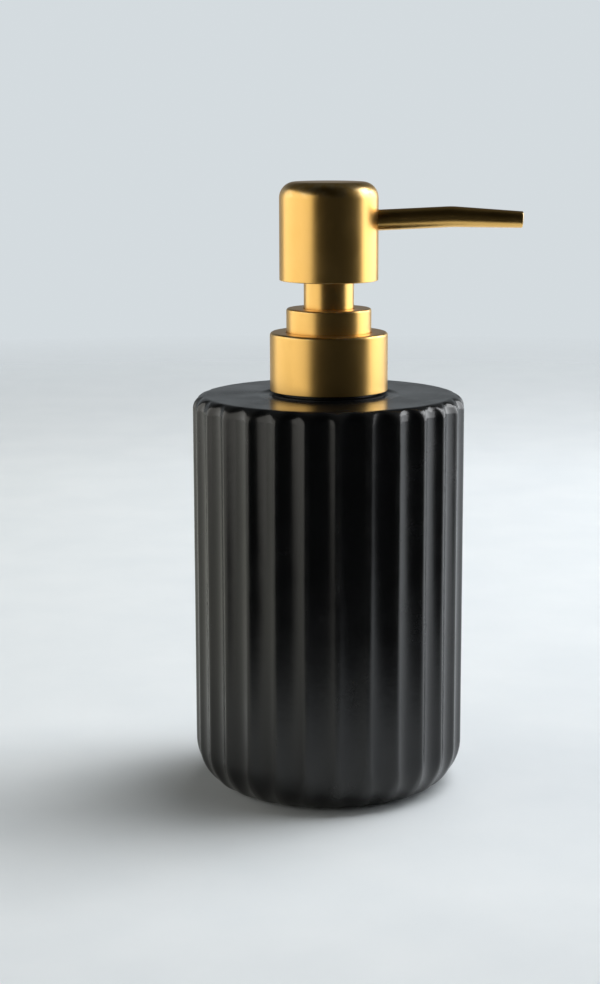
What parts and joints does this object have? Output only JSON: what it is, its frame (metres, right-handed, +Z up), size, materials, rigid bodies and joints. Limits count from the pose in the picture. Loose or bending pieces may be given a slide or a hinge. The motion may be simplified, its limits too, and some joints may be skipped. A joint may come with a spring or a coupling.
{
  "type": "soap pump dispenser",
  "caption": "Fluted round ceramic bottle with a screw-on gold metal lotion pump: stepped collar, domed press head and bent spout.",
  "frame": {"origin": "centre of the foot, on the surface that the bottle stands on", "axes": "+Z up along the bottle's and the pump's common axis; +X along the spout at rest"},
  "size_m": [0.0877, 0.073, 0.1626],
  "materials": {
    "glaze": "satin black glaze",
    "gold": "satin gold plating",
    "black_plastic": "moulded",
    "white_plastic": "moulded",
    "clear_plastic": "natural translucent moulded",
    "foam": "closed-cell foam",
    "silicone": "cured silicone",
    "steel": "drawn stainless",
    "marble": "ground glass ball"
  },
  "bodies": {
    "bottle": {"bottle": "glaze", "neck_insert": "black_plastic", "insert_bond": "silicone"},
    "pump_core": {"neck_gasket": "foam", "pump_housing": "white_plastic", "chaplet": "white_plastic", "ring_cover": "gold", "ball_retainer": "white_plastic", "dip_tube": "clear_plastic", "return_spring": "steel"},
    "collar": {"collar_shell": "gold", "collar_liner": "white_plastic"},
    "lower_ball": {"lower_ball": "marble"},
    "piston": {"piston_seal": "clear_plastic"},
    "head": {"stem": "white_plastic", "neck_sleeve": "gold", "head_core": "white_plastic", "head_shell": "gold", "spout_tube": "gold", "spout_liner": "clear_plastic"},
    "upper_ball": {"upper_ball": "steel"}
  },
  "joints": [
    {"name": "collar_turn", "type": "hinge", "parent": "pump_core", "child": "collar", "pos_m": [0, 0, 0.115], "axis": [0, 0, 1], "range_deg": [0, 540]},
    {"name": "pump_lift", "type": "slide", "parent": "bottle", "child": "pump_core", "axis": [0, 0, 1], "range_m": [0, 0.00636]},
    {"name": "pump_press", "type": "slide", "parent": "pump_core", "child": "piston", "axis": [0, 0, -1], "range_m": [0, 0.012], "stiffness_N_per_m": 600, "springref_m": -0.006, "deforming": ["return_spring"]},
    {"name": "head_swivel", "type": "hinge", "parent": "piston", "child": "head", "pos_m": [0, 0, 0.15], "axis": [0, 0, 1], "continuous": true},
    {"name": "lower_ball_lift", "type": "slide", "parent": "pump_core", "child": "lower_ball", "axis": [0, 0, 1], "range_m": [0, 0.0015]},
    {"name": "upper_ball_lift", "type": "slide", "parent": "head", "child": "upper_ball", "axis": [0, 0, 1], "range_m": [0, 0.0015]}
  ],
  "couplings": [
    {"joint": "pump_lift", "follows": "collar_turn", "m_per_rad": 0.0006737}
  ]
}
